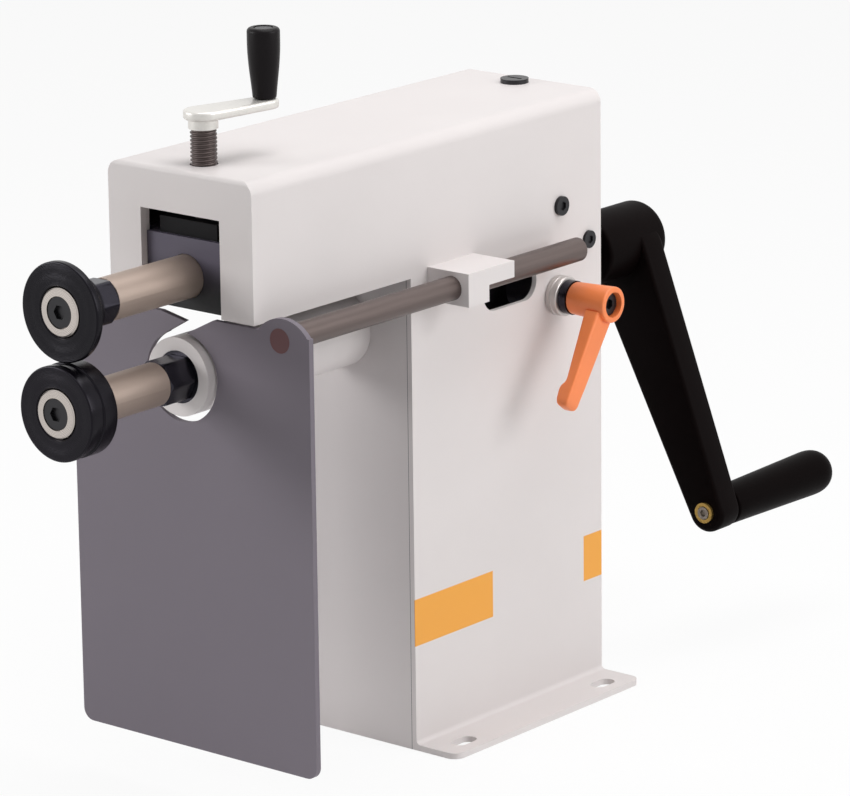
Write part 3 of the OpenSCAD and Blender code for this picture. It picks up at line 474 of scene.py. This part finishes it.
def hex_nut(name, node, bore, z, material):
    """Nut with flats above and below: the hexagon's radius at each angle, cut by a cone at each end."""
    y0, y1 = span(node, Y)
    flat = half_width(node, Z)
    turn = np.radians(np.linspace(0.0, 360.0, 192, endpoint=False))[None, :]
    off_flat = np.mod(turn + math.pi / 6.0, math.pi / 3.0) - math.pi / 6.0
    hexagon = flat / np.cos(off_flat)
    depth = NUT_RINGS[:, None]
    near_end = np.minimum(hexagon, flat * NUT_CONE_START + depth * NUT_CONE_SLOPE)
    inside = np.full_like(turn, bore)
    radius = np.concatenate([inside, near_end, near_end[::-1], inside])
    station = np.concatenate([[[y0]], y0 + depth, y1 - depth[::-1], [[y1]]])
    grid = turned_grid(radius, station, turn, (0.0, 0.0, z), "y")
    return mesh_from_grid(name, grid, material, 25.0, ring=True)


def taper_outline(r0, r1, length, start=0.0, count=40):
    """Outline of two circles and their outer tangents, with the normal at each point."""
    slope = math.asin((r0 - r1) / length)
    near = np.linspace(math.pi - slope, 2.0 * math.pi + slope, count)
    far = np.linspace(slope, math.pi - slope, count)
    normal = np.concatenate([np.stack([np.cos(near), np.sin(near)], 1),
                             np.stack([np.cos(far), np.sin(far)], 1)])
    point = np.concatenate([normal[:count] * r0, normal[count:] * r1 + np.array([0.0, length])])
    return point + np.array([0.0, start]), normal


def soft_slab(name, outline, normal, low, high, edge, place, material, steps=6):
    """Slab with round edges: the outline moves in along its normals as the rim rounds over."""
    angle = np.linspace(0.0, math.pi / 2.0, steps)
    inset = edge * (1.0 - np.sin(angle))
    rise = edge * (1.0 - np.cos(angle))
    inset = np.concatenate([inset, inset[::-1]])
    height = np.concatenate([low + rise, high - rise[::-1]])
    flat = outline[None] - normal[None] * inset[:, None, None]
    return mesh_from_grid(name, place(flat, height[:, None]), material)


def put(piece, body, slot, *replaced):
    """Ties a piece to its body and hides the CAD nodes that it stands for. The finish that it is given is
    not used.
    """
    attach(piece, body)
    if replaced:
        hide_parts(*replaced)


# Rollers with turned faces, and the hexagon nuts behind them

ROLLER_BORE = 0.00905
RECESS_R = 0.0158
RECESS_L = 0.006
RECESS_EDGE = 0.0012
RIM_ROUND = 0.0012
RIM_W = 0.0055
GROOVE_W = 0.007
GROOVE_D = 0.0012
GROOVE_SLOPE = 0.0008
ROLLER_BACK_R = 0.020
ROLLER_BACK_L = 0.002
ROLLER_COLUMNS = 144
UPPER_NUT_BORE = 0.01106
QUILL_NUT_BORE = 0.01131


def roller_front(y0, radius):
    """Bore, recess with a broken edge, turned face and the front rounding of the rim."""
    return profile((ROLLER_BORE, y0 + RECESS_L), (RECESS_R, y0 + RECESS_L), (RECESS_R, y0 + RECESS_EDGE),
                   turning_marks(RECESS_R + RECESS_EDGE, radius - RIM_ROUND, y0),
                   arc((radius - RIM_ROUND, y0 + RIM_ROUND), RIM_ROUND, -75, 0, 6))


UPPER_Y0, UPPER_Y1 = span("upper_roller", Y)
UPPER_R = half_width("upper_roller", X)
upper_profile = profile(
    roller_front(UPPER_Y0, UPPER_R),
    arc((UPPER_R - RIM_ROUND, UPPER_Y0 + RIM_W - RIM_ROUND), RIM_ROUND, 0, 55, 6),
    (ROLLER_BACK_R, UPPER_Y1 - ROLLER_BACK_L), (ROLLER_BACK_R, UPPER_Y1), (ROLLER_BORE, UPPER_Y1))
upper_roller = lathe("upper_roller_turned", upper_profile, (0, 0, UPPER_Z), "y", upper_blued, ROLLER_COLUMNS)
put(upper_roller, "upper_shaft", "blued_steel", "upper_roller")

LOWER_Y0, LOWER_Y1 = span("lower_roller", Y)
LOWER_R = half_width("lower_roller", X)
GROOVE_Y0 = UPPER_Y0 + RIM_W / 2.0 - GROOVE_W / 2.0
GROOVE_Y1 = GROOVE_Y0 + GROOVE_W
GROOVE_R = LOWER_R - GROOVE_D
lower_profile = profile(
    roller_front(LOWER_Y0, LOWER_R),
    (LOWER_R, GROOVE_Y0), (GROOVE_R, GROOVE_Y0 + GROOVE_SLOPE),
    (GROOVE_R, GROOVE_Y1 - GROOVE_SLOPE), (LOWER_R, GROOVE_Y1),
    arc((LOWER_R - RIM_ROUND, LOWER_Y1 - RIM_ROUND), RIM_ROUND, 0, 90, 6),
    (ROLLER_BORE, LOWER_Y1))
lower_roller = lathe("lower_roller_turned", lower_profile, (0, 0, LOWER_Z), "y", lower_blued, ROLLER_COLUMNS)
put(lower_roller, "lower_shaft", "blued_steel", "lower_roller")

upper_nut = hex_nut("upper_nut_hex", "upper_nut", UPPER_NUT_BORE, UPPER_Z, nut_black)
put(upper_nut, "upper_shaft", "blued_steel", "upper_nut")
quill_nut = hex_nut("quill_nut_hex", "quill_nut", QUILL_NUT_BORE, LOWER_Z, nut_black)
put(quill_nut, "quill", "blued_steel", "quill_nut")

# Main crank: a tapered arm with soft edges on a thick round head

CRANK_L = math.hypot(GRIP_X, LOWER_Z - GRIP_Z)
CRANK_ANGLE = math.atan2(GRIP_X, LOWER_Z - GRIP_Z)
CRANK_Y0, CRANK_Y1 = span("main_crank", Y)
GRIP_Y0, GRIP_Y1 = span("crank_grip", Y)
ARM_T = 0.022
GRIP_GAP = 0.0005
ARM_Y1 = GRIP_Y0 - GRIP_GAP
ARM_Y0 = ARM_Y1 - ARM_T
ARM_EDGE = 0.0035
ARM_ROOT = 0.010
ARM_ROOT_R = 0.026
ARM_END_R = 0.0145
CRANK_HEAD_R = 0.025
CRANK_BORE = 0.0102
HEAD_FRONT_ROUND = 0.0028
HEAD_REAR_ROUND = 0.0075
WASHER_SEAT_R = 0.0138
WASHER_SEAT_L = 0.003


def crank_place(flat, height):
    """Turns the arm's own plane to hang from the shaft at the crank's angle."""
    side, down = flat[..., 0], flat[..., 1]
    x = side * math.cos(CRANK_ANGLE) + down * math.sin(CRANK_ANGLE)
    z = LOWER_Z + side * math.sin(CRANK_ANGLE) - down * math.cos(CRANK_ANGLE)
    return np.stack([x, height + 0.0 * x, z], axis=-1)


outline, normal = taper_outline(ARM_ROOT_R, ARM_END_R, CRANK_L - ARM_ROOT, ARM_ROOT)
crank_arm = soft_slab("crank_arm_soft", outline, normal, ARM_Y0, ARM_Y1, ARM_EDGE, crank_place, crank_paint)
put(crank_arm, "lower_shaft", "black_paint", "main_crank")
crank_head_profile = profile(
    (CRANK_BORE, CRANK_Y0),
    arc((CRANK_HEAD_R - HEAD_FRONT_ROUND, CRANK_Y0 + HEAD_FRONT_ROUND), HEAD_FRONT_ROUND, -90, 0),
    arc((CRANK_HEAD_R - HEAD_REAR_ROUND, CRANK_Y1 - HEAD_REAR_ROUND), HEAD_REAR_ROUND, 0, 90, 12),
    (WASHER_SEAT_R, CRANK_Y1), (WASHER_SEAT_R, CRANK_Y1 - WASHER_SEAT_L),
    (CRANK_BORE, CRANK_Y1 - WASHER_SEAT_L))
crank_head = lathe("crank_head_soft", crank_head_profile, (0, 0, LOWER_Z), "y", crank_paint)
put(crank_head, "lower_shaft", "black_paint", "main_crank")

# Crank grip: it widens towards a round end

GRIP_R = half_width("crank_grip", X)
GRIP_TAPER = 0.002
GRIP_START_R = GRIP_R - GRIP_TAPER
GRIP_BORE = 0.00506
GRIP_BORE_TIP = 0.0001
GRIP_END_WALL = 0.015
GRIP_BORE_END = GRIP_Y1 - GRIP_END_WALL
GRIP_ROUND = 0.002
GRIP_END_L = 0.0165
GRIP_END_R = 0.010
GRIP_SQUARE = 0.75
PIN_R = 0.0003
GRIP_STRAIGHT_Y = GRIP_Y0 + GRIP_ROUND
GRIP_END_Y = GRIP_Y1 - GRIP_END_L
taper = np.linspace(0.1, 1.0, 12)
swing_in = np.linspace(0.12, math.pi / 2.0, 16)
grip_profile = profile(
    (GRIP_BORE, GRIP_Y0),
    arc((GRIP_START_R - GRIP_ROUND, GRIP_STRAIGHT_Y), GRIP_ROUND, -90, 0),
    np.stack([GRIP_START_R + GRIP_TAPER * taper,
              GRIP_STRAIGHT_Y + (GRIP_END_Y - GRIP_STRAIGHT_Y) * taper], axis=1),
    np.stack([GRIP_R - GRIP_END_R * (1.0 - np.cos(swing_in) ** GRIP_SQUARE),
              GRIP_END_Y + GRIP_END_L * np.sin(swing_in) ** GRIP_SQUARE], axis=1),
    (PIN_R, GRIP_Y1), (PIN_R, GRIP_BORE_END + GRIP_BORE_TIP), (GRIP_BORE, GRIP_BORE_END))
crank_grip = lathe("crank_grip_soft", grip_profile, (GRIP_X, 0, GRIP_Z), "y", grip_plastic)
put(crank_grip, "crank_grip", "black_grip", "crank_grip")


# Spindle with its thread

SPINDLE_Z0, SPINDLE_Z1 = span("spindle", Z)
SPINDLE_R = half_width("spindle", X)
COLLAR_Z0 = span("spindle_collar", Z)[0]
THREAD_BELOW_NUT = 0.0058
THREAD_GAP = 0.0001
THREAD_Z0 = span("spindle_nut", Z)[0] - THREAD_BELOW_NUT
THREAD_Z1 = COLLAR_Z0 - THREAD_GAP
THREAD_PITCH = 0.0025
THREAD_DEPTH = 0.001
THREAD_RUN_IN = 0.003
THREAD_RUN_OUT = 0.002
RIDGE_PEAK = 1.6
RIDGE_SLOPE = 4.0
NECK_R = 0.0065
NECK_STEP = 0.0002
SPIGOT_R = 0.006


def spindle_thread(name):
    """Spindle: a plain neck, then a ridge that climbs one pitch per turn, then a plain spigot. Across the
    ridge the height is a straight slope up and down, cut flat at 1, and it fades at both ends."""
    turn = np.linspace(0.0, 2.0 * math.pi, 72, endpoint=False)[None, :]
    z = np.linspace(THREAD_Z0, THREAD_Z1, 301)[:, None]
    phase = (z / THREAD_PITCH - turn / (2.0 * math.pi)) % 1.0
    ridge = np.clip(RIDGE_PEAK - RIDGE_SLOPE * np.abs(phase - 0.5), 0.0, 1.0)
    run_in = np.clip((z - THREAD_Z0) / THREAD_RUN_IN, 0.0, 1.0)
    run_out = np.clip((THREAD_Z1 - z) / THREAD_RUN_OUT, 0.0, 1.0)
    plain = np.ones_like(turn)
    radius = np.concatenate([NECK_R * plain, NECK_R * plain,
                             SPINDLE_R - THREAD_DEPTH + THREAD_DEPTH * ridge * run_in * run_out,
                             SPIGOT_R * plain, SPIGOT_R * plain])
    station = np.concatenate([[[SPINDLE_Z0], [THREAD_Z0 - NECK_STEP]], z, [[COLLAR_Z0], [SPINDLE_Z1]]])
    grid = turned_grid(radius, station, turn, (0.0, SPINDLE_Y, 0.0), "z")
    return mesh_from_grid(name, grid, thread_metal, 60.0)


put(spindle_thread("spindle_thread"), "spindle", "plain_steel", "spindle")

# Top crank arm and its grip

TOP_L = math.hypot(TOP_GRIP_X, TOP_GRIP_Y - SPINDLE_Y)
TOP_ANGLE = math.atan2(TOP_GRIP_X, TOP_GRIP_Y - SPINDLE_Y)
TOP_ARM_Z0, TOP_ARM_Z1 = span("top_crank_arm", Z)
TOP_HUB_R = 0.0125
TOP_END_R = 0.009
TOP_ARM_EDGE = 0.0016


def top_place(flat, height):
    """Turns the top crank's own plane about the spindle."""
    side, back = flat[..., 0], flat[..., 1]
    x = side * math.cos(TOP_ANGLE) + back * math.sin(TOP_ANGLE)
    y = SPINDLE_Y - side * math.sin(TOP_ANGLE) + back * math.cos(TOP_ANGLE)
    return np.stack([x, y, height + 0.0 * x], axis=-1)


outline, normal = taper_outline(TOP_HUB_R, TOP_END_R, TOP_L)
top_arm = soft_slab("top_crank_arm_soft", outline, normal, TOP_ARM_Z0, TOP_ARM_Z1, TOP_ARM_EDGE, top_place,
                    zinc)
put(top_arm, "spindle", "zinc_steel", "top_crank_arm")

TOP_GRIP_Z0, TOP_GRIP_Z1 = span("top_grip", Z)
TOP_GRIP_R = half_width("top_grip", X)
TOP_WAIST_R = 0.0077
TOP_BORE = 0.00406
TOP_RIM = 0.0026
TOP_RECESS_R = 0.0062
TOP_RECESS_L = 0.0025
TOP_RECESS_Z = TOP_GRIP_Z1 - TOP_RECESS_L
TOP_FOOT = 0.0008
TOP_FOOT_RISE = 0.0005
TOP_WAIST_L = 0.0015
TOP_WAIST_Z = TOP_GRIP_Z0 + TOP_WAIST_L
TOP_SWELL_L = 0.035
TOP_SWELL_BEND = 1.2
swell = np.linspace(0.05, 1.0, 14)
top_profile = profile(
    (TOP_BORE, TOP_GRIP_Z0), (TOP_WAIST_R - TOP_FOOT, TOP_GRIP_Z0),
    (TOP_WAIST_R - TOP_FOOT / 4.0, TOP_GRIP_Z0 + TOP_FOOT_RISE), (TOP_WAIST_R, TOP_WAIST_Z),
    np.stack([TOP_WAIST_R + (TOP_GRIP_R - TOP_WAIST_R) * np.sin(swell * math.pi / 2.0) ** TOP_SWELL_BEND,
              TOP_WAIST_Z + TOP_SWELL_L * swell], axis=1),
    arc((TOP_GRIP_R - TOP_RIM, TOP_GRIP_Z1 - TOP_RIM), TOP_RIM, 0, 90, 9),
    (TOP_RECESS_R, TOP_GRIP_Z1), (TOP_RECESS_R, TOP_RECESS_Z), (TOP_BORE, TOP_RECESS_Z))
top_grip = lathe("top_grip_soft", top_profile, (TOP_GRIP_X, TOP_GRIP_Y, 0), "z", top_plastic)
put(top_grip, "top_grip", "black_grip", "top_grip")

# Clamp ring on the wall, with a groove round its middle

RING_X0, RING_X1 = span("clamp_ring", X)
RING_R = half_width("clamp_ring", Z)
RING_BORE = 0.0063
RING_ROUND = 0.0012
RING_GROOVE_R = 0.0007
RING_MIDDLE = (RING_X0 + RING_X1) / 2.0
ring_profile = profile(
    (RING_BORE, RING_X0),
    arc((RING_R - RING_ROUND, RING_X0 + RING_ROUND), RING_ROUND, -90, 0),
    arc((RING_R, RING_MIDDLE), RING_GROOVE_R, -90, -270, 9),
    arc((RING_R - RING_ROUND, RING_X1 - RING_ROUND), RING_ROUND, 0, 90),
    (RING_BORE, RING_X1))
clamp_ring = lathe("clamp_ring_turned", ring_profile, (0, LEVER_Y, LOWER_Z), "x", ring_steel)
put(clamp_ring, "frame", "zinc_steel", "clamp_ring")

# Clamp lever: a hub that is open at its end, and a square arm with a thicker tip

LEVER_STAND_OFF = 0.0065
LEVER_HUB_L = 0.032
LEVER_BORE_L = 0.0163
LEVER_WEB_T = 0.0025
LEVER_X0 = RING_X1 + LEVER_STAND_OFF
LEVER_X1 = LEVER_X0 + LEVER_HUB_L
LEVER_WEB = LEVER_X0 + LEVER_BORE_L
LEVER_ANGLE = math.radians(35.0)
LEVER_ROOT = 0.0095
LEVER_L = 0.076
LEVER_HUB_R = (0.0109, 0.0121)
LEVER_SOCKET_R = 0.0085
LEVER_BORE_R = 0.00706
LEVER_SCREW_R = 0.0034
HUB_ROUND = 0.001
LEVER_TIP_L = 0.0145
LEVER_END_L = 0.005
LEVER_SET_BACK = 0.003
LEVER_LEAN = 0.016
LEVER_SQUARE = 0.27
LEVER_THICK = 0.0130
LEVER_THINNING = 0.095
LEVER_WIDE = 0.0180
LEVER_NARROWING = 0.060
LEVER_SWELL = 0.0042
LEVER_SWELL_STEP = 0.0011
LEVER_END_SHARE = 0.42
LEVER_END_ARC = 0.998
hub_profile = profile(
    (LEVER_BORE_R, LEVER_X0),
    arc((LEVER_HUB_R[0] - HUB_ROUND, LEVER_X0 + HUB_ROUND), HUB_ROUND, -90, 0),
    arc((LEVER_HUB_R[1] - HUB_ROUND, LEVER_X1 - HUB_ROUND), HUB_ROUND, 0, 90),
    (LEVER_SOCKET_R, LEVER_X1), (LEVER_SOCKET_R, LEVER_WEB + LEVER_WEB_T),
    (LEVER_SCREW_R, LEVER_WEB + LEVER_WEB_T), (LEVER_SCREW_R, LEVER_WEB), (LEVER_BORE_R, LEVER_WEB))
lever_hub = lathe("lever_hub_soft", hub_profile, (0, LEVER_Y, LOWER_Z), "x", lever_plastic)
put(lever_hub, "clamp_lever", "orange_lever", "clamp_lever")


def lever_arm(name):
    """Arm of the lever: a squared oval that thins and narrows evenly on its way down. Near the tip it
    swells towards the wall in a smooth step, and at the end it closes along an arc."""
    down = np.linspace(LEVER_ROOT, LEVER_L, 90)[:, None]
    turn = np.linspace(0.0, 2.0 * math.pi, 120, endpoint=False)[None, :]
    swell = 1.0 / (1.0 + np.exp(-(down - LEVER_L + LEVER_TIP_L) / LEVER_SWELL_STEP))
    near_end = np.clip((down - LEVER_L + LEVER_END_L) / LEVER_END_L, 0.0, 1.0)
    close = 1.0 - LEVER_END_SHARE * (1.0 - np.sqrt(1.0 - LEVER_END_ARC * near_end ** 2))
    thick = LEVER_THICK - LEVER_THINNING * down + LEVER_SWELL * swell
    wide = LEVER_WIDE - LEVER_NARROWING * down
    a = np.sign(np.cos(turn)) * np.abs(np.cos(turn)) ** LEVER_SQUARE * thick / 2.0 * close
    b = np.sign(np.sin(turn)) * np.abs(np.sin(turn)) ** LEVER_SQUARE * wide / 2.0 * close
    x = LEVER_X1 - LEVER_SET_BACK + LEVER_LEAN * (down - LEVER_ROOT) - thick / 2.0 + a
    y = LEVER_Y - down * math.sin(LEVER_ANGLE) - b * math.cos(LEVER_ANGLE)
    z = LOWER_Z - down * math.cos(LEVER_ANGLE) + b * math.sin(LEVER_ANGLE)
    return mesh_from_grid(name, np.stack([x, y, z], axis=2), lever_plastic, 50.0)


put(lever_arm("lever_arm_soft"), "clamp_lever", "orange_lever", "clamp_lever")


# Stage, light and camera

FLOOR_GLOW = 0.91
WORLD_LIGHT = 0.22


def seen_directly(tree):
    """1 for rays that come straight from the camera, or by way of a reflection or glass."""
    path = Val(tree, None).add("ShaderNodeLightPath")
    outs = path.socket.node.outputs
    camera_ray, glossy, through = (Val(tree, outs[k]) for k in
                                   ("Is Camera Ray", "Is Glossy Ray", "Is Transmission Ray"))
    return (camera_ray + glossy + through).math("MINIMUM", 1.0)


def white_floor(name, size, z):
    """Pale floor that is nearly white where it is seen, and keeps a soft shadow."""
    half = size / 2.0
    mesh = bpy.data.meshes.new(name)
    mesh.from_pydata([(-half, -half, z), (half, -half, z), (half, half, z), (-half, half, z)], [],
                     [(0, 1, 2, 3)])
    s = Surface(name)
    s.put("Base Color", (0.88, 0.88, 0.88, 1.0))
    s.put("Roughness", 0.9)
    s.put("Specular IOR Level", 0.0)
    glow = s.point.add("ShaderNodeEmission", {"Color": (1.0, 1.0, 1.0, 1.0), "Strength": 1.0})
    own = Val(s.tree, s.shader.outputs[0])
    both = s.point.add("ShaderNodeMixShader", {0: seen_directly(s.tree) * FLOOR_GLOW, 1: own, 2: glow})
    end = next(n for n in s.tree.nodes if n.type == "OUTPUT_MATERIAL")
    s.tree.links.new(both.socket, end.inputs["Surface"])
    mesh.materials.append(s.material)
    plane = bpy.data.objects.new(name, mesh)
    scene.collection.objects.link(plane)


white_floor("floor", size=60.0, z=-0.0005)

world = bpy.data.worlds.new("studio")
scene.world = world
world.use_nodes = True
background = next(n for n in world.node_tree.nodes if n.type == "BACKGROUND")
background.inputs["Color"].default_value = (1.0, 1.0, 1.0, 1.0)
strength = WORLD_LIGHT + (1.0 - WORLD_LIGHT) * seen_directly(world.node_tree)
world.node_tree.links.new(strength.socket, background.inputs["Strength"])


def facing(place, target, roll=0.0):
    """Matrix at a place that looks at a target: level, then turned about the line of sight by the roll."""
    away = np.subtract(place, target)
    back = away / np.linalg.norm(away)
    level = np.cross((0.0, 0.0, 1.0), back)
    level = level / np.linalg.norm(level)
    rise = np.cross(back, level)
    right = level * math.cos(roll) + rise * math.sin(roll)
    matrix = np.eye(4)
    matrix[:3] = np.stack([right, np.cross(back, right), back, place], axis=1)
    return Matrix(matrix.tolist())


def area_light(name, place, target, size, power):
    """Soft box at a place that faces a target, size in metres and power in watts."""
    lamp = bpy.data.lights.new(name, "AREA")
    lamp.shape = "RECTANGLE"
    lamp.size, lamp.size_y = size
    lamp.energy = power
    box = bpy.data.objects.new(name, lamp)
    box.matrix_world = facing(place, target)
    scene.collection.objects.link(box)


area_light("top_box", place=(0.3, 0.2, 2.4), target=(0.0, -0.05, 0.2), size=(1.8, 1.8), power=37.0)
area_light("side_box", place=(2.2, 0.6, 1.2), target=(0.0, 0.0, 0.2), size=(1.4, 1.4), power=27.0)
area_light("left_box", place=(-1.8, -1.9, 1.0), target=(0.0, 0.0, 0.2), size=(1.2, 1.0), power=31.0)

CAMERA_PLACE = (2.0356, -2.4725, 1.0860)
CAMERA_TARGET = (0.0293, -0.05, 0.2243)
CAMERA_ROLL = math.radians(-0.686)

camera = bpy.data.cameras.new("camera")
camera.sensor_width = 36.0
camera.lens = 210.2
camera.clip_end = 100.0
camera_object = bpy.data.objects.new("camera", camera)
camera_object.matrix_world = facing(CAMERA_PLACE, CAMERA_TARGET, CAMERA_ROLL)
scene.collection.objects.link(camera_object)
scene.camera = camera_object
scene.view_settings.view_transform = "Standard"
